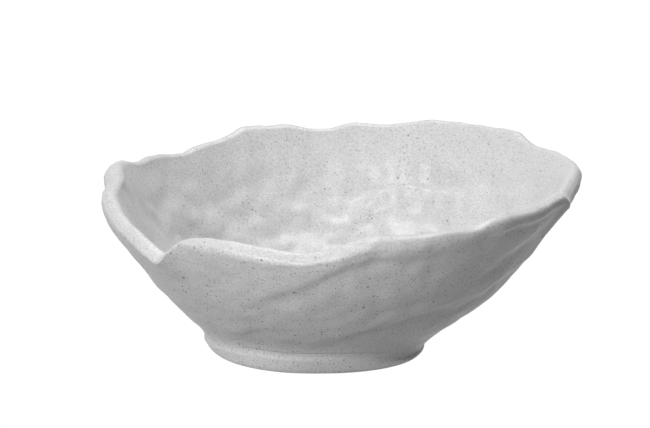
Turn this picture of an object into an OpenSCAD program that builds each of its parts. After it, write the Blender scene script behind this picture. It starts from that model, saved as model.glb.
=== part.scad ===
// A free-form serving bowl with a wavy, stepped rim, standing on a low round foot ring.
// +X is to the right, +Y is to the back and +Z is up. The foot stands on z = 0, and the origin is
// under the middle of the bowl's outline. Turns are in degrees, going round from +X towards +Y.

/* [Rim] */
// Mean radius of the rim's outer edge
rim_radius = 100; // [85:1:115]
// Height of a plain stretch of the rim's inner edge
rim_height = 74; // [60:0.5:90]
// Thickness of the lip
lip_thickness = 7; // [5:0.1:10]
// How far the two steps and the waves of the rim stand out, as a share of the usual
rim_waviness = 1; // [0:0.05:1.2]
// Radius of the lip's rounded edges
lip_edge = 1.5; // [0.5:0.1:2.5]

/* [Shell] */
// How far the rim's middle stands to the right of the foot's middle
rim_lean = 9; // [0:0.5:14]
// Curve of the outer wall, where 1 is a straight cone and less is fuller
wall_curve = 0.74; // [0.55:0.01:1]
// How fast the wall's middle moves over to the right, from the foot up
lean_curve = 0.5; // [0.3:0.05:1]
// Height of the inside bottom above the table
floor_height = 13; // [11:0.5:20]
// Reach of the inside bottom's flat part
floor_reach = 57; // [35:1:60]
// Length of the inside wall's straight part
wall_reach = 48; // [30:1:55]
// How deep the folds and hollows are, as a share of the usual
fold_depth = 1; // [0:0.05:1.2]

/* [Foot] */
// Largest radius of the foot
foot_radius = 46.5; // [38:0.5:52]
// Radius where the foot starts to turn in to the table
stand_radius = 45.5; // [35:0.5:48]
// Height of the seam between the foot and the shell
foot_height = 8; // [6:0.5:10]
// Width of the foot ring
foot_width = 10; // [6:0.5:14]
// Radius of the foot's rounded edges
foot_edge = 1.5; // [0.5:0.25:3]

/* [Hidden] */

// Rim line: turn, height above rim_height, and how far the lip's outer edge is below its inner one.
// The front-left step is at 223 to 230 and the front-right one is at 341 to 349.
rim_line = [
  [0, 2.5, 5], [5, 2.5, 5], [12, 2, 4.5], [17, 2, 4], [24, 0.5, 4], [30, 0, 4], [34, 1.5, 4], [38, 3.5, 4],
  [46, 2.5, 4], [56, 1.5, 4], [65, 0.5, 4], [71, -1, 4], [77, -3, 4], [86, -2.5, 4], [92, -5, 4],
  [96, -5, 4], [100, -4, 4], [104, -2, 4], [110, -2, 4], [116, -1.5, 4], [119, -3.5, 4], [124, -5.5, 4],
  [129, -6, 4], [132, -7, 4], [136, -9, 4], [139, -8.5, 4], [144, -7, 4], [150, -5.5, 4], [155, -5, 4],
  [160, -3, 4], [165, -1, 4], [170, 0, 4], [176, 0, 4], [186, -0.5, 4], [192, -1, 4], [198, -3.5, 4],
  [204, -6, 4], [212, -9, 4], [219, -13, 4], [223, -15.5, 4], [225, -13.5, 2], [227.5, -9.5, 0.5],
  [230, -7, 0.5], [233, -6, 2], [238, -5.5, 3.5], [245, -5, 4.5], [254, -6, 4], [261, -7, 3.5],
  [266, -5, 3.5], [270, -3, 4], [274, 0, 4], [277.5, 2.5, 3], [281, -0.5, 2], [288, -1.5, 1],
  [296, 0, 0.5], [302, -1, 0.5], [305, -1, 0.5], [309, 1, 1], [315, 2, 2.5], [321, 1, 1.5], [327, 0.5, 2],
  [333, 0, 1], [338, 0, 0.5], [341, 0, 1], [344, -1.5, 5], [349, 0, 5], [354, 1.5, 5], [360, 2.5, 5]
];

// Rim plan: turn, radius beyond rim_radius, and how much thicker the lip is.
rim_plan = [
  [0, 0, 0], [7, 1, 0], [14, 1, 0], [30, 0.5, 0], [60, 0, 0], [120, 0, 0], [140, -0.5, 0], [160, -0.5, 0],
  [174, 0, 1.5], [183, -2, 2], [194, 1.5, 0], [205, 2, 0], [215, 1.5, 0], [223, 1, 0], [232, -1, 0],
  [260, -1.5, 0], [300, -2, 0], [325, -2.5, 0], [336, -2.5, 0], [342, -1, 0], [346, -3.5, 0.5],
  [352, -3, 0.5], [360, 0, 0]
];

// Folds and hollows outside: turn, share of the wall's height, turn and share they reach, and depth.
outer_folds = [
  [281, 0.84, 8, 0.07, 1.0], [270, 0.83, 7, 0.07, 1.2], [262, 0.75, 7, 0.07, 1.0],
  [251, 0.63, 8, 0.08, 0.7], [308, 0.40, 9, 0.09, 1.4], [293, 0.31, 9, 0.07, 1.2],
  [279, 0.22, 9, 0.06, 1.0], [262, 0.15, 10, 0.05, 0.8], [322, 0.55, 14, 0.14, 1.3],
  [343, 0.78, 9, 0.16, 0.8], [338, 0.34, 16, 0.12, -1.0], [5, 0.12, 14, 0.08, 1.2],
  [352, 0.22, 12, 0.09, 1.0], [292, 0.57, 14, 0.14, -0.8], [238, 0.35, 14, 0.14, -0.8],
  [216, 0.80, 9, 0.10, 1.0], [198, 0.82, 12, 0.13, -1.2], [190, 0.42, 16, 0.14, -0.6],
  [150, 0.60, 18, 0.18, -0.8], [110, 0.40, 16, 0.15, 1.0], [80, 0.70, 18, 0.16, -0.8],
  [45, 0.45, 18, 0.18, 0.9]
];

// Lumps and hollows inside: turn, share of the wall's height, turn and share they reach, and height.
inner_lumps = [
  [72, 0.52, 12, 0.08, 1.4], [50, 0.50, 14, 0.07, 1.2], [30, 0.62, 12, 0.08, 1.0],
  [62, 0.38, 12, 0.07, -1.2], [60, 0.26, 14, 0.07, 1.0], [121, 0.58, 8, 0.09, 0.9],
  [104, 0.40, 12, 0.10, -0.9], [138, 0.40, 14, 0.12, 0.8], [160, 0.55, 14, 0.14, -0.8],
  [20, 0.35, 16, 0.14, -0.8], [200, 0.45, 18, 0.16, 0.8], [260, 0.40, 20, 0.16, -0.8],
  [300, 0.50, 20, 0.14, 0.9], [335, 0.40, 16, 0.14, -0.8]
];

wall_steps = 15;
lip_steps = 3;
inner_steps = 13;
seam_radius = foot_radius + 0.5;

// The azimuths of the sections, closer together at the two steps of the rim.
turns = concat(
  [for (t = [0:3:216]) t],
  [for (t = [218:1.5:236]) t],
  [for (t = [239:3:335]) t],
  [for (t = [337:2:357]) t]
);

// Each rim column as pairs of turn and value, and the same blurred over a wide turn for the lower wall.
rim_columns = [
  [for (row = rim_line) [row[0], rim_height + rim_waviness * row[1]]],
  [for (row = rim_line) [row[0], row[2]]],
  [for (row = rim_plan) [row[0], rim_radius + rim_waviness * row[1]]],
  [for (row = rim_plan) [row[0], lip_thickness + row[2]]]
];

wide_columns = [
  for (pairs = rim_columns)
    [for (t = [0:8:360]) [t, sum_of([for (d = [-24:8:24]) lookup((t + d + 360) % 360, pairs)]) / 7]]
];

function sum_of(list) = list * [for (item = list) 1];

// A rim column at one turn: sharp at the rim, where share is 1, and blurred further down the wall.
function rim_value(t, column, share) =
  let (
    pairs = rim_columns[column],
    sharp = (lookup((t + 359) % 360, pairs) + 2 * lookup(t, pairs) + lookup((t + 1) % 360, pairs)) / 4,
    wide = lookup(t, wide_columns[column])
  )
  wide + (sharp - wide) * pow(share, 2.5);

function turn_gap(a, b) = abs((a - b + 540) % 360 - 180);

function hollow(t, share, f) =
  f[4] * exp(-pow(turn_gap(t, f[0]) / f[2], 2) - pow((share - f[1]) / f[3], 2));

function relief(t, share, table) = fold_depth * sum_of([for (f = table) hollow(t, share, f)]);

function bezier(a, b, c, d, u) =
  pow(1 - u, 3) * a + 3 * u * pow(1 - u, 2) * b + 3 * u * u * (1 - u) * c + pow(u, 3) * d;

// The lip's outer and inner edges at one turn, as radius and height.
function lip_outside(t, share = 1) =
  [rim_value(t, 2, share), rim_value(t, 0, share) - rim_value(t, 1, share)];

function lip_inside(t, share = 1) =
  let (width = sqrt(pow(rim_value(t, 3, share), 2) - pow(rim_value(t, 1, share), 2)))
  [rim_value(t, 2, share) - width, rim_value(t, 0, share)];

// One section's outer wall, lip and inner wall, as [radius, height, share of the lean].
function outer_point(t, share) =
  let (
    edge = lip_outside(t, share),
    r = seam_radius + (edge[0] - seam_radius) * pow(share, wall_curve),
    z = foot_height + (edge[1] - foot_height) * share,
    fade = min(1, 8 * share) * min(1, 8 * (1 - share))
  )
  [r - fade * relief(t, share, outer_folds), z, pow(share, lean_curve)];

function inner_point(t, u) =
  let (
    edge = lip_inside(t, u),
    bend = [edge[0] - 0.57 * wall_reach, edge[1] - 0.83 * wall_reach],
    raw = bezier([0, floor_height], [floor_reach, floor_height], bend, edge, u),
    share = (raw[1] - floor_height) / (edge[1] - floor_height),
    fade = min(1, 8 * share) * min(1, 8 * (1 - share)),
    lift = 0.7 * fade * relief(t, share, inner_lumps)
  )
  [raw[0] - lift, raw[1] + lift, pow(share, lean_curve)];

function lip_point(t, side, i) =
  let (
    a = side > 0 ? lip_outside(t) : lip_inside(t),
    b = side > 0 ? lip_inside(t) : lip_outside(t),
    along = (b - a) / norm(b - a),
    below = side > 0 ? outer_point(t, 0.9) : inner_point(t, 0.9),
    down = ([below[0], below[1]] - a) / norm([below[0], below[1]] - a),
    p = a + lip_edge * down,
    q = a + lip_edge * along
  )
  bezier(p, 0.4 * p + 0.6 * a, 0.4 * q + 0.6 * a, q, i / lip_steps);

function section(t) = concat(
  [[seam_radius, foot_height, 0]],
  [for (i = [1:wall_steps]) outer_point(t, 0.96 * pow(i / wall_steps, 1.3))],
  [for (i = [0:lip_steps]) concat(lip_point(t, 1, i), 1)],
  [for (i = [0:lip_steps]) concat(lip_point(t, -1, lip_steps - i), 1)],
  [for (i = [0:inner_steps - 1]) inner_point(t, 0.96 - 0.90 * i / inner_steps)]
);

rings = wall_steps + 2 * lip_steps + inner_steps + 3;
count = len(turns);
rim_xs = [for (t = turns) rim_lean + lip_outside(t)[0] * cos(t)];
rim_ys = [for (t = turns) lip_outside(t)[0] * sin(t)];
foot_x = -(max(rim_xs) + min(rim_xs)) / 2;
foot_y = -(max(rim_ys) + min(rim_ys)) / 2;

shell_points = concat(
  [for (t = turns) each [for (p = section(t)) [rim_lean * p[2] + p[0] * cos(t), p[0] * sin(t), p[1]]]],
  [[0, 0, foot_height], [0, 0, floor_height]]
);

shell_faces = concat(
  [for (j = [0:count - 1], i = [0:rings - 2], k = [0:1])
    let (a = j * rings + i, b = ((j + 1) % count) * rings + i)
    k == 0 ? [a, a + 1, b + 1] : [a, b + 1, b]
  ],
  [for (j = [0:count - 1]) [count * rings, j * rings, ((j + 1) % count) * rings]],
  [for (j = [0:count - 1]) [count * rings + 1, ((j + 1) % count + 1) * rings - 1, (j + 1) * rings - 1]]
);

module bowl_body() {
  color([0.78, 0.78, 0.77])
    translate([foot_x, foot_y, 0])
    polyhedron(points = shell_points, faces = shell_faces, convexity = 6);
}

// The foot's section: a standing face, an outer side that flares to the seam, and a tapered recess.
foot_inside = stand_radius - foot_width;

foot_outline = concat(
  [[foot_inside + foot_edge, 0], [stand_radius - foot_edge, 0]],
  [for (a = [-75:15:0]) [stand_radius - foot_edge + foot_edge * cos(a), foot_edge + foot_edge * sin(a)]],
  [[foot_radius - 0.5, foot_height / 2], [foot_radius, 0.75 * foot_height]],
  [[foot_radius - 0.5, foot_height], [foot_inside - 1.5, foot_height]],
  [for (a = [180:15:255]) [foot_inside + foot_edge + foot_edge * cos(a), foot_edge + foot_edge * sin(a)]]
);

module foot_ring() {
  color([0.74, 0.74, 0.73])
    translate([foot_x, foot_y, 0])
    rotate_extrude($fn = 180)
    polygon(foot_outline);
}

bowl_body();
foot_ring();
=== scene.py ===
"""A free-form speckled serving bowl on a low round foot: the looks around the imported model.

Sizes in this file are in millimetres from the middle of the foot, and MM turns them into metres.
Turns are in degrees round the foot, from +X towards +Y. A share is 0 at the foot and 1 at the rim.
"""

import math

import bmesh
import bpy
import numpy as np
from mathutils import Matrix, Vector, noise


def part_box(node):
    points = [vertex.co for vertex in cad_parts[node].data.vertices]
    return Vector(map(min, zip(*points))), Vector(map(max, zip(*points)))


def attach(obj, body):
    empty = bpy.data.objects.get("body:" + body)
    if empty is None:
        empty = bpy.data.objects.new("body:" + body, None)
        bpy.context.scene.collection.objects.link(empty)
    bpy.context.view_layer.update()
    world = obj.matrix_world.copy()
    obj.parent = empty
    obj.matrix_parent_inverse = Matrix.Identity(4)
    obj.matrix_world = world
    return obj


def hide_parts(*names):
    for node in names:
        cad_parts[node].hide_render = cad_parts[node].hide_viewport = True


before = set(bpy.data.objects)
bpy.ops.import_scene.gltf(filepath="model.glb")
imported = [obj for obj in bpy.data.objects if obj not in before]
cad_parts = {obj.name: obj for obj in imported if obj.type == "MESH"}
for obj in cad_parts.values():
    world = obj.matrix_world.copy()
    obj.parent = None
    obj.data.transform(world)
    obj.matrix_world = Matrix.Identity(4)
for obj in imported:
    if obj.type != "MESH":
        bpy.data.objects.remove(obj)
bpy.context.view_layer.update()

MM = 0.001

body_low, body_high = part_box("bowl_body")
foot_low, foot_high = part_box("foot_ring")
FOOT_MID = [(foot_low[i] + foot_high[i]) / 2 for i in (0, 1)]
SEAM = foot_high[2] / MM
FOOT_RADIUS = (foot_high[0] - foot_low[0]) / 2 / MM
TOP = body_high[2] / MM + 0.7

SHARP_EDGE = 50  # the angle in degrees from which an edge is shaded sharp
AROUND = 512  # points round the bowl
TURNS = np.arange(AROUND) * 360.0 / AROUND
COS, SIN = np.cos(np.radians(TURNS)), np.sin(np.radians(TURNS))

# ---------------------------------------------------------------- the rim
# Turn, height of the lip's inner edge over TOP, and how far its outer edge is below that.
# TOP is where the highest edge would be without its rounding.
RIM_LINE = [
    (0, -1, 5), (5, -1, 5), (12, -1.5, 4.5), (17, -1.5, 4), (24, -3, 4), (30, -3.5, 4), (34, -2, 4), (38, 0, 4),
    (46, -1, 4), (56, -1.3, 4), (65, -2.3, 4), (71, -4, 4), (77, -6.2, 4), (86, -5.3, 4), (92, -8.5, 4),
    (96, -8.5, 4), (100, -7.5, 4), (104, -5.5, 4), (110, -5.5, 4), (116, -5, 4), (119, -7, 4), (124, -9.5, 4),
    (129, -10, 4), (132, -10.3, 4), (136, -11.8, 4), (139, -11.2, 4), (144, -9.3, 4), (150, -8.2, 4),
    (155, -8.5, 4), (160, -6.5, 4), (165, -3.5, 4), (170, -2.3, 4), (176, -3, 4), (186, -4, 4), (192, -4.5, 4),
    (198, -7, 4), (204, -9.5, 4), (212, -12.5, 4), (219, -16.5, 4), (223, -19, 4), (225, -17, 2),
    (227.5, -13, 0.5), (230, -10.5, 0.5), (233, -9.5, 2), (238, -8.5, 2.6), (245, -8.2, 3.8), (254, -9.5, 4),
    (261, -10.5, 3.5), (266, -9, 3.5), (270, -7, 4), (274, -4.5, 4), (278, -2.8, 3), (283, -3.8, 2),
    (289, -4.6, 1), (296, -3.5, 0.5), (302, -4.5, 0.5), (305, -4.5, 0.5), (309, -2.5, 1), (315, -1.5, 2.5),
    (321, -2.5, 1.5), (327, -3, 2), (333, -3.5, 1), (338, -3.5, 0.5), (341, -3.5, 1), (344, -5, 5),
    (349, -3.5, 5), (354, -2, 5), (360, -1, 5),
]
# Turn, radius of the lip's outer edge, and thickness of the lip.
RIM_PLAN = [
    (0, 101.5, 7), (7, 102, 7), (14, 101, 7), (30, 100.5, 7), (60, 100, 7), (120, 100, 7), (140, 99.5, 7),
    (160, 99.5, 7), (174, 100, 8.5), (183, 98, 9), (194, 101.5, 7), (205, 102, 7), (215, 101.5, 7), (223, 101, 7),
    (232, 99, 7), (260, 98.5, 7), (300, 98, 7), (325, 97.5, 7), (336, 97.5, 7), (342, 99, 7), (346, 98, 7.5),
    (352, 99, 7.5), (360, 101.5, 7),
]
RIM_LEAN = 9.0  # how far the rim's middle is to the right of the foot's
WALL_CURVE = 0.74  # 1 is a straight cone and less is fuller
LEAN_CURVE = 0.5  # how fast the sections move to the right, from the foot up
WALL_LENGTH = 84.0  # from the seam to the rim along the wall
FLOOR = 13.0  # height of the inside bottom
# The inside is a cubic curve. Its handles run this far out along the floor, and this far down from the lip.
FLOOR_REACH = 57.0
WALL_REACH = 48.0
WALL_SLOPE = (0.57, 0.83)  # the way of the second handle, across and up

# ---------------------------------------------------------------- folds and lumps
# A fold is a path of turn, share and height in mm, where the skin above the path stands out over the skin
# below it, then how soft the step is and how far it reaches, in mm. A negative height sinks it instead.
OUTER_FOLDS = [
    ([(304, 0.88, 0.0), (296, 0.86, 0.6), (289, 0.87, 0.9), (281, 0.88, 0.8), (272, 0.88, 0.7), (264, 0.79, 0.7),
      (256, 0.67, 0.7), (247, 0.53, 0.6), (238, 0.43, 0.4), (230, 0.37, 0.0)], 3.2, 12),
    ([(324, 0.50, 0.0), (312, 0.40, 0.9), (297, 0.32, 1.1), (284, 0.23, 0.9), (274, 0.17, 0.5), (262, 0.12, 0.3),
      (246, 0.10, 0.0)], 2.8, 10),
    ([(314, 0.60, 0.0), (323, 0.72, 0.7), (331, 0.80, 0.6), (342, 0.87, 0.0)], 3.0, 9),
    ([(316, 0.34, 0.0), (328, 0.45, 0.8), (339, 0.55, 0.7), (354, 0.66, 0.0)], 3.2, 10),
    ([(228, 0.30, 0.0), (238, 0.34, 0.4), (247, 0.42, 0.4), (256, 0.47, 0.0)], 3.0, 9),
    ([(226, 0.14, 0.0), (234, 0.16, 0.5), (242, 0.22, 0.4), (250, 0.28, 0.0)], 2.6, 8),
    ([(278, 0.40, 0.0), (290, 0.46, 0.6), (302, 0.53, 0.7), (314, 0.58, 0.0)], 3.0, 10),
    ([(292, 0.89, 0.0), (302, 0.90, 0.6), (310, 0.925, 0.8), (325, 0.935, 0.7), (338, 0.935, 0.6),
      (346, 0.93, 0.0)], 2.0, 6),
    ([(20, 0.30, 0.0), (40, 0.36, 0.5), (62, 0.47, 0.6), (78, 0.62, 0.4), (90, 0.72, 0.0)], 3.0, 10),
    ([(98, 0.24, 0.0), (118, 0.28, 0.5), (140, 0.40, 0.6), (160, 0.52, 0.4), (175, 0.60, 0.0)], 3.0, 10),
    ([(160, 0.22, 0.0), (178, 0.28, 0.4), (196, 0.36, 0.5), (212, 0.47, 0.0)], 2.8, 9),
]
INNER_FOLDS = [
    ([(85, 0.39, 0.0), (80, 0.49, -3.2), (75, 0.55, -4.4), (68, 0.585, -4.4), (60, 0.59, -4.2), (53, 0.58, -3.2),
      (46, 0.57, -1.4), (40, 0.56, 0.0)], 2.5, 8),
    ([(56, 0.60, 0.0), (46, 0.61, -1.0), (36, 0.645, -1.2), (24, 0.70, -1.0), (14, 0.74, 0.0)], 2.8, 9),
    ([(84, 0.28, 0.0), (70, 0.35, -0.9), (54, 0.38, -0.9), (40, 0.34, 0.0)], 3.0, 9),
    ([(134, 0.46, 0.0), (124, 0.57, -0.7), (114, 0.60, -0.5), (106, 0.60, 0.0)], 3.6, 9),
    ([(150, 0.32, 0.0), (135, 0.36, -0.6), (118, 0.40, -0.6), (100, 0.48, -0.6), (90, 0.54, 0.0)], 4.2, 12),
    ([(70, 0.72, 0.0), (58, 0.76, -0.7), (46, 0.74, -0.7), (36, 0.78, 0.0)], 3.2, 9),
    ([(200, 0.55, 0.0), (180, 0.50, -0.4), (160, 0.58, -0.4), (145, 0.68, 0.0)], 3.2, 10),
    ([(240, 0.45, 0.0), (262, 0.52, -0.8), (285, 0.48, -0.8), (305, 0.58, 0.0)], 3.2, 11),
    ([(310, 0.35, 0.0), (330, 0.42, -0.8), (350, 0.52, -0.8), (368, 0.55, 0.0)], 3.2, 11),
]
# A lump is a turn, a share, how far it reaches each way and how far it stands out, in mm. Less than 0 is a dent.
OUTER_LUMPS = [
    (292, 0.58, 18, 0.7), (240, 0.40, 18, 0.6), (200, 0.82, 18, 1.4), (190, 0.42, 20, 0.5), (312, 0.36, 20, 1.5),
    (352, 0.45, 22, 1.8), (338, 0.34, 20, 1.3), (5, 0.12, 14, -1.0), (150, 0.62, 22, 0.8), (110, 0.40, 20, -0.8),
    (188, 0.25, 30, 1.2), (80, 0.72, 22, 0.8), (45, 0.45, 22, -0.8), (300, 0.28, 14, -0.8), (272, 0.60, 16, 0.4),
    (222, 0.62, 14, -0.4),
]
INNER_LUMPS = [
    (62, 0.26, 14, 2.0), (104, 0.42, 16, -0.6), (138, 0.45, 18, 0.6), (160, 0.58, 16, -0.6), (20, 0.40, 18, -0.6),
    (200, 0.45, 22, 0.7), (260, 0.40, 22, -0.7), (300, 0.55, 22, 0.7), (335, 0.40, 20, -0.6), (45, 0.78, 14, 0.6),
    (90, 0.75, 16, 0.5), (115, 0.80, 12, -0.4),
]


def blurred(rows, column, degrees):
    """One column of a rim table at every turn, blurred over some degrees either way."""
    fine = np.arange(0, 360, 0.25)
    values = np.interp(fine, [r[0] for r in rows], [r[column] for r in rows])
    gap = np.minimum(fine, 360 - fine)
    kernel = np.exp(-0.5 * (gap / degrees) ** 2)
    soft = np.real(np.fft.ifft(np.fft.fft(values) * np.fft.fft(kernel / kernel.sum())))
    return np.interp(TURNS, np.append(fine, 360), np.append(soft, soft[0]))


# What the columns of the rim tables are, and how many degrees each is blurred over at the rim. Lower down the
# wall all are blurred over BLUR_BELOW.
COLUMNS = (("z", RIM_LINE, 1, 0.8), ("drop", RIM_LINE, 2, 1.2), ("r", RIM_PLAN, 1, 1.5), ("lip", RIM_PLAN, 2, 2.0))
BLUR_BELOW = 14
SHARP = {name: blurred(rows, column, soft) for name, rows, column, soft in COLUMNS}
WIDE = {name: blurred(rows, column, BLUR_BELOW) for name, rows, column, soft in COLUMNS}

# At the back a high stretch of rim also leans out, as if the wall had been torn off along a wavy line.
BACK = np.clip((SIN - 0.15) / 0.45, 0, 1)
RISE = SHARP["z"] - WIDE["z"]
SHARP["z"] = SHARP["z"] - 0.16 * BACK * RISE
SHARP["r"] = SHARP["r"] + 0.55 * BACK * RISE


def rim(name, sharp):
    """A rim column at every turn: the blurred one where sharp is 0 and the sharp one where it is 1."""
    return WIDE[name] + (SHARP[name] - WIDE[name]) * sharp


def outer_edge(share):
    """Radius and height of the lip's outer edge, as the wall at this share follows it."""
    sharp = share**3
    return rim("r", sharp), TOP + rim("z", sharp) - rim("drop", sharp)


def inner_edge(share):
    """Radius and height of the lip's inner edge, as the inside at this share follows it."""
    sharp = share**6
    width = np.sqrt(rim("lip", sharp) ** 2 - rim("drop", sharp) ** 2)
    return rim("r", share**12) - width, TOP + rim("z", sharp)


# Turn, and how far the lip's rounding reaches down the wall, over the top from outside, and over it from inside.
LIP_ROUND = [
    (0, 5.0, 3.2, 2.6), (60, 3.5, 3.0, 3.0), (170, 3.5, 3.0, 3.4), (195, 3.0, 2.6, 3.2), (208, 2.4, 2.2, 2.2),
    (222, 2.0, 1.8, 1.8), (232, 2.8, 2.4, 1.8), (241, 3.4, 3.0, 1.8), (250, 3.8, 3.6, 1.6), (262, 3.0, 2.8, 1.7),
    (272, 2.4, 2.2, 1.8), (279, 4.0, 3.0, 2.2), (288, 5.5, 4.2, 2.2), (335, 5.0, 4.2, 2.2), (344, 4.0, 2.8, 2.2),
    (360, 5.0, 3.2, 2.6),
]
DOWN_ROUND = blurred(LIP_ROUND, 1, 3)
OUTER_ROUND = blurred(LIP_ROUND, 2, 3)
INNER_ROUND = blurred(LIP_ROUND, 3, 3)


def turn_gap(a, b):
    """The turn from b to a, between -180 and 180."""
    return (a - b + 540) % 360 - 180


def relief(share, radius, folds, lumps):
    """How far the skin stands out at each point, in mm, from the folds and the lumps."""
    out = np.zeros(np.broadcast(share, TURNS).shape)
    for turn, at, reach, height in lumps:
        x = np.radians(turn_gap(TURNS, turn)) * radius
        y = (share - at) * WALL_LENGTH
        out += height * np.exp(-(x * x + y * y) / reach**2)
    for path, soft, reach in folds:
        nearest = np.full(out.shape, 1e9)
        value = np.zeros(out.shape)
        for (t0, s0, h0), (t1, s1, h1) in zip(path, path[1:]):
            x = np.radians(turn_gap(TURNS, t0)) * radius
            y = (share - s0) * WALL_LENGTH
            dx = math.radians(turn_gap(t1, t0)) * radius
            dy = (s1 - s0) * WALL_LENGTH
            along = np.clip((x * dx + y * dy) / (dx * dx + dy * dy), 0, 1)
            gap = np.hypot(x - along * dx, y - along * dy)
            side = np.sign(dx) * np.sign(y * dx - x * dy)
            step = (h0 + (h1 - h0) * along) * np.tanh(side * gap / soft) * np.exp(-((gap / reach) ** 2))
            closer = gap < nearest
            value = np.where(closer, step, value)
            nearest = np.minimum(gap, nearest)
        out += value
    return out


def fade(share, low, high):
    """1 along the wall, going to 0 at the foot over the share low and at the rim over the share high."""
    return np.clip(share / low, 0, 1) * np.clip((1 - share) / high, 0, 1)


def place(r, z, lean):
    """Points in metres from radius, height and how far over to the right the section's middle is."""
    x = FOOT_MID[0] / MM + RIM_LEAN * lean + r * COS
    y = FOOT_MID[1] / MM + r * SIN
    return np.stack(np.broadcast_arrays(x, y, z), -1) * MM


def wall(share):
    """The outer wall from the seam to the lip's outer edge."""
    r, z = outer_edge(share)
    lean = share**LEAN_CURVE
    radius = START_RADIUS + (r - START_RADIUS) * share**WALL_CURVE
    out = relief(share, radius, OUTER_FOLDS, OUTER_LUMPS) * fade(share, 0.10, 0.08)
    height = SEAM_LINE + (z - SEAM_LINE) * share
    return radius + 0.8 * out, height - 0.6 * out, lean  # it faces out and down at about 37 degrees


def inside(u):
    """The inside from the middle of the floor, at u 0, to the lip's inner edge, at u 1."""
    r, z = inner_edge(u)
    a, b, c, d = (1 - u) ** 3, 3 * u * (1 - u) ** 2, 3 * u * u * (1 - u), u**3
    radius = b * FLOOR_REACH + c * (r - WALL_SLOPE[0] * WALL_REACH) + d * r
    height = (a + b) * FLOOR + c * (z - WALL_SLOPE[1] * WALL_REACH) + d * z
    share = np.clip((height - FLOOR) / (z - FLOOR), 0, 1)
    out = relief(share, radius, INNER_FOLDS, INNER_LUMPS) * fade(share, 0.12, 0.10)
    return radius - 0.7 * out, height + 0.7 * out, share**LEAN_CURVE  # it faces in and up at 45 degrees


# The seam over the foot: turn, and how far its height and its radius wander.
SEAM_STATIONS = [
    (0, -1.5, -1.5), (40, -0.5, -0.6), (90, 0.5, 0.3), (140, 0.5, 0.5), (185, 0.8, 2.2), (215, 2.2, 1.0),
    (240, 3.2, 0.1), (275, 3.2, -0.2), (300, 1.8, -0.9), (325, -0.8, -2.0), (345, -1.8, -2.2), (360, -1.5, -1.5),
]
SEAM_LINE = SEAM + blurred(SEAM_STATIONS, 1, 8)
SEAM_RADIUS = FOOT_RADIUS - 0.5 + blurred(SEAM_STATIONS, 2, 8)
START_RADIUS = SEAM_RADIUS - 1.5  # where the wall would start without the hollow over the foot

# The shares where the lip's rounding starts on the wall and on the inside.
WALL_TOP = 1 - (DOWN_ROUND + 0.2) / WALL_LENGTH
INSIDE_TOP = 1 - (INNER_ROUND + 0.2) / (3 * WALL_REACH)


def lip(start, corner, far, reach, u):
    """A rounded edge of the lip, from the wall at u 0 to the flat top at u 1."""
    p0, a = np.stack(start), np.stack(corner)
    top = np.stack(far) - a
    p1 = a + reach * top / np.linalg.norm(top, axis=0)
    q0, q1 = 0.42 * p0 + 0.58 * a, 0.42 * p1 + 0.58 * a
    u = u[:, None, None]
    p = (1 - u) ** 3 * p0 + 3 * u * (1 - u) ** 2 * q0 + 3 * u * u * (1 - u) * q1 + u**3 * p1
    return p[:, 0], p[:, 1]


def soft_ground(points, scale, seed):
    """Small hand-made unevenness of each point in mm, in bumps of about scale mm."""
    offset = Vector((seed * 3.7, seed * 1.3, seed * 5.1))
    flat = points.reshape(-1, 3)
    values = [noise.noise(Vector(p) / (scale * MM) + offset) for p in flat]
    return 0.5 * np.array(values).reshape(points.shape[:-1])


def mesh_from_rows(name, rows, poles=()):
    """A closed skin of quads from rows of points round the bowl.

    Two poles close it below the first row and above the last. Without poles the last row joins the first.
    """
    count = len(rows)
    points = [tuple(p) for row in rows for p in row]
    faces = []
    for i in range(count - 1 if poles else count):
        j = (i + 1) % count
        for k in range(AROUND):
            m = (k + 1) % AROUND
            faces.append((i * AROUND + k, i * AROUND + m, j * AROUND + m, j * AROUND + k))
    if poles:
        low, high, base = len(points), len(points) + 1, (count - 1) * AROUND
        points += [tuple(pole) for pole in poles]
        faces += [(low, (k + 1) % AROUND, k) for k in range(AROUND)]
        faces += [(high, base + k, base + (k + 1) % AROUND) for k in range(AROUND)]
    mesh = bpy.data.meshes.new(name)
    mesh.from_pydata(points, [], faces)
    mesh.validate()
    built = bmesh.new()
    built.from_mesh(mesh)
    bmesh.ops.recalc_face_normals(built, faces=built.faces)
    for edge in built.edges:
        if len(edge.link_faces) == 2 and edge.calc_face_angle(0) > math.radians(SHARP_EDGE):
            edge.smooth = False
    for face in built.faces:
        face.smooth = True
    built.to_mesh(mesh)
    built.free()
    piece = bpy.data.objects.new(name, mesh)
    bpy.context.scene.collection.objects.link(piece)
    return piece


# ---------------------------------------------------------------- the shell
# A soft hollow joins the foot to the wall. Its corner, the crease, is on the wall's tangent at the share FILLET.
FILLET = 0.10
FOOT_SIDE = 4.0  # how far below the crease the hollow starts
FILLET_SPLIT = 0.4  # the part of the hollow that belongs to the foot
# Turn, and how much lower the hollow starts at the notch in the seam.
NOTCH = [(0, 0), (280, 0), (300, 1), (325, 1), (345, 0), (360, 0)]
WALL_ROWS, INSIDE_ROWS = 84, 66
fillet_r, fillet_z, fillet_lean = wall(np.array([[FILLET]]))
edge_r, edge_z = outer_edge(FILLET)
slope = (edge_r - START_RADIUS) * WALL_CURVE * FILLET ** (WALL_CURVE - 1) / (edge_z - SEAM_LINE)
crease_r = SEAM_RADIUS + 0.7
crease_z = fillet_z[0] - (fillet_r[0] - crease_r) / slope
FOOT_TOP = crease_z - FOOT_SIDE - blurred(NOTCH, 1, 6)


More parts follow.
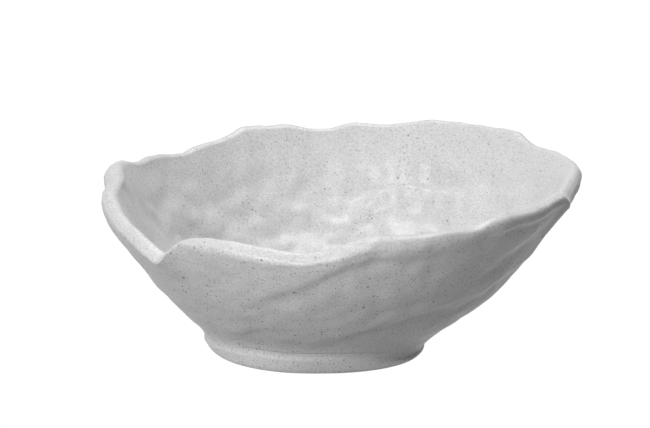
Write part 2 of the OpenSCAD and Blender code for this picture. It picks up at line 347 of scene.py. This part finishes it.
def fillet(t):
    """The hollow where the foot turns out into the wall: t 0 is on the foot's side and 1 is on the wall."""
    t = t[:, None]
    r = (1 - t) ** 2 * SEAM_RADIUS + 2 * t * (1 - t) * crease_r + t * t * fillet_r
    z = (1 - t) ** 2 * FOOT_TOP + 2 * t * (1 - t) * crease_z + t * t * fillet_z
    return place(r, z, (1.2 * t * (1 - t) + t * t) * fillet_lean)


wall_rows = wall(FILLET + (WALL_TOP - FILLET) * np.linspace(0, 1, WALL_ROWS)[1:, None] ** 1.1)
inside_rows = inside(INSIDE_TOP - (INSIDE_TOP - 0.02) * np.linspace(0, 1, INSIDE_ROWS)[:, None] ** 0.9)
wall_end = (wall_rows[0][-1], wall_rows[1][-1])
inside_end = (inside_rows[0][0], inside_rows[1][0])
lip_out, lip_in = outer_edge(1.0), inner_edge(1.0)
outer_lip = place(*lip(wall_end, lip_out, lip_in, OUTER_ROUND, np.linspace(0, 1, 10)[1:]), 1.0)
inner_lip = place(*lip(inside_end, lip_in, lip_out, INNER_ROUND, np.linspace(1, 0, 9)[:-1]), 1.0)
over = inner_lip[0] - outer_lip[-1]
crown = 0.08 * np.linalg.norm(over, axis=-1)[:, None] * np.array([0, 0, 1])
steps = np.linspace(0, 1, 6)[1:-1, None, None]
lip_top = outer_lip[-1] + over * steps + crown * np.sin(np.pi * steps)
hollow = fillet(np.linspace(FILLET_SPLIT, 1, 9))
skin = np.concatenate([hollow, place(*wall_rows), outer_lip, lip_top, inner_lip, place(*inside_rows)])

# The hand-made unevenness pushes each point along its own normal: more on the inside, and most at its back right.
across = np.gradient(skin, axis=0)
along = np.roll(skin, -1, axis=1) - np.roll(skin, 1, axis=1)
normal = np.cross(along, across)
normal /= np.linalg.norm(normal, axis=-1, keepdims=True)
uneven = soft_ground(skin, 14, 1) + soft_ground(skin, 7, 2)
row = np.arange(len(skin))[:, None]
inside_start = len(skin) - INSIDE_ROWS
behind_lip = inside_start + 22  # the row from which the inside has all of it
amount = np.interp(row, (0, 14, inside_start, behind_lip), (0, 0.75, 0.75, 2.3))
more_at_right = 0.35 * np.cos(np.radians(TURNS - 45)) * np.interp(row, (inside_start, behind_lip), (0, 1))
amount = amount * (1 + more_at_right)
skin = skin + normal * (uneven * amount)[..., None] * MM

# The shell's flat underside is the ceiling of the recess in the foot.
RECESS = -12.5
ceiling = place(FOOT_RADIUS + RECESS + 0 * COS, SEAM, 0.0)[None]
middle = np.array([FOOT_MID[0], FOOT_MID[1], SEAM * MM])
floor_middle = np.mean(skin[-1], axis=0) - np.array([0, 0, 0.05 * MM])
shell = mesh_from_rows("bowl_shell", np.concatenate([ceiling, skin]), (middle, floor_middle))

# ---------------------------------------------------------------- the foot
# The foot meets the table STAND inside FOOT_RADIUS, and at each turn this much further out.
STAND = 3.8
CONTACT = [
    (0, 0.8), (90, 0.5), (180, 2.2), (209, 2.1), (225, 1.2), (250, -0.6), (270, -2), (290, -0.8), (310, 1.2),
    (324, 2.2), (340, 1.6), (360, 0.8),
]
# The side from the hollow down to the table: the part of its height, and how far its rounded edge turns in.
SIDE = [
    (0.85, 0), (0.68, 0), (0.50, 0), (0.34, 0.03), (0.2, 0.12), (0.1, 0.35), (0.04, 0.6), (0.01, 0.8), (0.0, 1.0),
]
# The standing face and the recess: the distance beyond FOOT_RADIUS, and the height for a seam at 8 mm.
UNDER = [
    (-7.2, 0.0), (-8.0, 0.0), (-8.6, 0.15), (-9.3, 0.5), (-9.9, 1.1), (-10.3, 2.0), (-10.6, 4.0), (-11.2, 6.0),
    (-12.0, 7.4), (RECESS, 7.9),
]
turned = fillet(np.linspace(FILLET_SPLIT, 0, 6))
contact_r = FOOT_RADIUS - STAND + blurred(CONTACT, 1, 6)
side_up, side_in = np.array(SIDE).T[:, :, None]
side = place(contact_r + 1 + (SEAM_RADIUS - contact_r - 1) * side_up - side_in, side_up * FOOT_TOP, 0.0)
under_r, under_z = np.array(UNDER).T[:, :, None]
under = place(FOOT_RADIUS + under_r + 0 * COS, under_z * SEAM / 8 + 0 * COS, 0.0)
foot = mesh_from_rows("foot", np.concatenate([turned, side, under]))


# ---------------------------------------------------------------- materials
GREY = 0.61
SPECK_COLOR = (0.10, 0.10, 0.098, 1)


class Paint:
    """A new material's node tree, with a short way to add each kind of node."""

    def __init__(self, name):
        self.material = bpy.data.materials.new(name)
        self.material.use_nodes = True
        self.nodes, self.links = self.material.node_tree.nodes, self.material.node_tree.links
        self.shader = self.nodes["Principled BSDF"]
        self.where = self.nodes.new("ShaderNodeTexCoord").outputs["Object"]

    def feed(self, socket, value):
        """A number or a colour is set, and another node's output is linked."""
        if isinstance(value, (int, float, tuple)):
            socket.default_value = value
        else:
            self.links.new(value, socket)

    def math(self, kind, a, b, c=0.5, clamp=False):
        node = self.nodes.new("ShaderNodeMath")
        node.operation = kind
        node.use_clamp = clamp
        for socket, value in zip(node.inputs, (a, b, c)):
            self.feed(socket, value)
        return node.outputs[0]

    def mix(self, kind, factor, a, b):
        node = self.nodes.new("ShaderNodeMix")
        node.data_type = "RGBA"
        node.blend_type = kind
        for socket, value in (("Factor", factor), ("A", a), ("B", b)):
            self.feed(node.inputs[socket], value)
        return node.outputs["Result"]

    def height_of(self, vector):
        node = self.nodes.new("ShaderNodeSeparateXYZ")
        self.links.new(vector, node.inputs["Vector"])
        return node.outputs["Z"]

    def noise(self, size_mm, detail):
        node = self.nodes.new("ShaderNodeTexNoise")
        node.inputs["Scale"].default_value = 1 / (size_mm * MM)
        node.inputs["Detail"].default_value = detail
        node.inputs["Roughness"].default_value = 0.5
        self.links.new(self.where, node.inputs["Vector"])
        return node.outputs["Fac"]

    def specks(self, cell_mm, radius_mm, share, softness):
        """Dark specks, one in each of this share of the cells, each of its own size and strength."""
        radius = radius_mm / cell_mm
        node = self.nodes.new("ShaderNodeTexVoronoi")
        node.feature = "F1"
        node.inputs["Scale"].default_value = 1 / (cell_mm * MM)
        self.links.new(self.where, node.inputs["Vector"])
        split = self.nodes.new("ShaderNodeSeparateColor")
        self.links.new(node.outputs["Color"], split.inputs["Color"])
        present = self.math("LESS_THAN", split.outputs[0], share)
        size = self.math("MULTIPLY_ADD", split.outputs[1], 0.6 * radius, 0.4 * radius)
        inward = self.math("SUBTRACT", size, node.outputs["Distance"])
        depth = self.math("DIVIDE", inward, softness * radius, clamp=True)
        strength = self.math("MULTIPLY_ADD", split.outputs[2], 0.6, 0.4)
        return self.math("MULTIPLY", self.math("MULTIPLY", depth, strength), present)


def speck_cover(paint):
    """How dark the specks are at each point: fine ones in clumps, medium ones and a few large ones."""
    fine = paint.specks(cell_mm=1.05, radius_mm=0.38, share=0.90, softness=0.5)
    medium = paint.specks(cell_mm=1.7, radius_mm=0.58, share=0.60, softness=0.45)
    large = paint.specks(cell_mm=4.0, radius_mm=0.75, share=0.55, softness=0.4)
    clumps = paint.math("MULTIPLY_ADD", paint.noise(9, 2), 2.2, -0.45, clamp=True)
    dark = paint.math("MULTIPLY", fine, paint.math("MULTIPLY_ADD", clumps, 0.35, 0.60))
    dark = paint.math("MAXIMUM", dark, paint.math("MULTIPLY", medium, 0.80))
    return paint.math("MAXIMUM", dark, large)


def clouded_grey_and_painted_foot_light(paint):
    """The glaze's own grey, 18 % either way in wide clouds and a fine grain, and a painted light that makes it
    paler towards the foot.
    """
    cloud = paint.math("MULTIPLY_ADD", paint.noise(16, 3), 0.40, -0.20)
    grain = paint.math("MULTIPLY_ADD", paint.noise(0.7, 1), 1.8, -0.9)
    shade = paint.math("ADD", paint.math("ADD", cloud, grain), 0.5, clamp=True)
    darkest, palest = ((value, value, value, 1.0) for value in (GREY * 0.82, GREY * 1.18))
    grey = paint.mix("MIX", shade, darkest, palest)

    # The painted light goes from none to all of it between 22 mm and 8 mm above the table.
    painted_foot_light = paint.math("MULTIPLY_ADD", paint.height_of(paint.where), -1 / (14 * MM), 22 / 14, clamp=True)
    return paint.mix("MULTIPLY", 1.0, grey, paint.math("MULTIPLY_ADD", painted_foot_light, 0.16, 1.0))


def speckled_glaze(name):
    """Satin light-grey glaze with fine dark specks of several sizes, soft clouding and a fine grain, with painted
    shade where it faces down and painted light towards the foot.
    """
    paint = Paint(name)
    shader = paint.shader
    shader.inputs["Specular IOR Level"].default_value = 0.5
    shader.inputs["IOR"].default_value = 1.5

    # The specks are stronger where the skin faces down and fainter where it faces up: real specks, with a painted
    # shade that darkens the downward-facing skin.
    dark = speck_cover(paint)
    # grey holds the glaze's own grey and the painted light that makes it paler towards the foot.
    grey = clouded_grey_and_painted_foot_light(paint)
    facing = paint.height_of(paint.nodes.new("ShaderNodeNewGeometry").outputs["Normal"])
    specks_and_painted_shade = paint.math("MULTIPLY", dark, paint.math("MULTIPLY_ADD", facing, -0.38, 0.85))
    paint.feed(shader.inputs["Base Color"], paint.mix("MIX", specks_and_painted_shade, grey, SPECK_COLOR))

    rough = paint.math("MULTIPLY_ADD", paint.noise(6, 3), 0.14, 0.36)
    paint.feed(shader.inputs["Roughness"], paint.math("MULTIPLY_ADD", dark, 0.12, rough))

    ripple = paint.math("MULTIPLY", paint.noise(3.2, 3), 0.6)
    height = paint.math("ADD", ripple, paint.math("MULTIPLY", paint.noise(0.8, 1), 0.12))
    height = paint.math("SUBTRACT", height, paint.math("MULTIPLY", dark, 0.10))
    bump = paint.nodes.new("ShaderNodeBump")
    bump.inputs["Strength"].default_value = 0.35
    bump.inputs["Distance"].default_value = 0.25 * MM
    paint.feed(bump.inputs["Height"], height)
    paint.feed(shader.inputs["Normal"], bump.outputs["Normal"])
    return paint.material


shell.data.materials.append(speckled_glaze("speckled glaze"))
foot.data.materials.append(speckled_glaze("speckled foot glaze"))

for piece, node, slot in ((shell, "bowl_body", "shell"), (foot, "foot_ring", "foot")):
    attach(piece, "root")
    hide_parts(node)

# ---------------------------------------------------------------- floor, light and camera
FLOOR_LIGHT = 0.07
LIGHT_DISTANCE = 1.6
LIGHT_SIZE = 0.9
CAMERA_DISTANCE = 1.5
CAMERA_RISE = math.radians(16)
WHITE = (1, 1, 1, 1)
aim = Vector((FOOT_MID[0] + 2.7 * MM, FOOT_MID[1], 56.1 * MM))


def seen_white(tree, socket, lit):
    """White where it is seen or mirrored, and only as bright as lit where it lights the bowl."""
    path = tree.nodes.new("ShaderNodeLightPath")
    seen = tree.nodes.new("ShaderNodeMath")
    seen.operation = "MAXIMUM"
    tree.links.new(path.outputs["Is Camera Ray"], seen.inputs[0])
    tree.links.new(path.outputs["Is Glossy Ray"], seen.inputs[1])
    strength = tree.nodes.new("ShaderNodeMath")
    strength.operation = "MAXIMUM"
    tree.links.new(seen.outputs[0], strength.inputs[0])
    strength.inputs[1].default_value = lit
    tree.links.new(strength.outputs[0], socket)


floor_mesh = bpy.data.meshes.new("floor")
floor_mesh.from_pydata([(-6, -6, 0), (6, -6, 0), (6, 6, 0), (-6, 6, 0)], [], [(0, 1, 2, 3)])
floor = bpy.data.objects.new("floor", floor_mesh)
bpy.context.scene.collection.objects.link(floor)
floor_paint = bpy.data.materials.new("pale floor")
floor_paint.use_nodes = True
floor_shader = floor_paint.node_tree.nodes["Principled BSDF"]
floor_shader.inputs["Base Color"].default_value = (0.05, 0.05, 0.05, 1)
floor_shader.inputs["Roughness"].default_value = 0.9
floor_shader.inputs["Specular IOR Level"].default_value = 0.0
floor_shader.inputs["Emission Color"].default_value = WHITE
seen_white(floor_paint.node_tree, floor_shader.inputs["Emission Strength"], FLOOR_LIGHT)
floor_mesh.materials.append(floor_paint)

world = bpy.data.worlds.new("studio")
bpy.context.scene.world = world
world.use_nodes = True
background = world.node_tree.nodes["Background"]
background.inputs["Color"].default_value = WHITE
seen_white(world.node_tree, background.inputs["Strength"], 0.0)


def square_light(name, size, power):
    light = bpy.data.lights.new(name, "AREA")
    light.shape = "SQUARE"
    light.size = size
    light.energy = power
    lamp = bpy.data.objects.new(name, light)
    bpy.context.scene.collection.objects.link(lamp)
    return lamp


def soft_box(name, turn, rise, power):
    """A soft light that looks at the bowl from a turn and a rise in degrees."""
    turn, rise = math.radians(turn), math.radians(rise)
    away = Vector((math.cos(turn) * math.cos(rise), math.sin(turn) * math.cos(rise), math.sin(rise)))
    lamp = square_light(name, LIGHT_SIZE, power)
    lamp.location = aim + LIGHT_DISTANCE * away
    lamp.rotation_euler = (-away).to_track_quat("-Z", "Y").to_euler()


soft_box("key light", 241, 23, 22.0)
soft_box("top light", 90, 70, 18.0)
soft_box("right light", 45, 35, 4.5)

# A card that lies in front of the bowl sends light up under its wall, and isn't seen itself.
card = square_light("front card", 0.2, 0.38)
card.location = (FOOT_MID[0] - 0.02, FOOT_MID[1] - 0.32, 0.002)
card.rotation_euler = (math.pi, 0, 0)
card.visible_camera = False

camera = bpy.data.objects.new("camera", bpy.data.cameras.new("camera"))
bpy.context.scene.collection.objects.link(camera)
camera.data.lens = 200
camera.data.sensor_width = 36
camera.data.clip_start = 0.05
camera.data.clip_end = 50
camera.location = aim + CAMERA_DISTANCE * Vector((0, -math.cos(CAMERA_RISE), math.sin(CAMERA_RISE)))
camera.rotation_euler = (aim - camera.location).to_track_quat("-Z", "Y").to_euler()
bpy.context.scene.camera = camera

bpy.context.scene.view_settings.view_transform = "Standard"
bpy.context.scene.view_settings.look = "None"
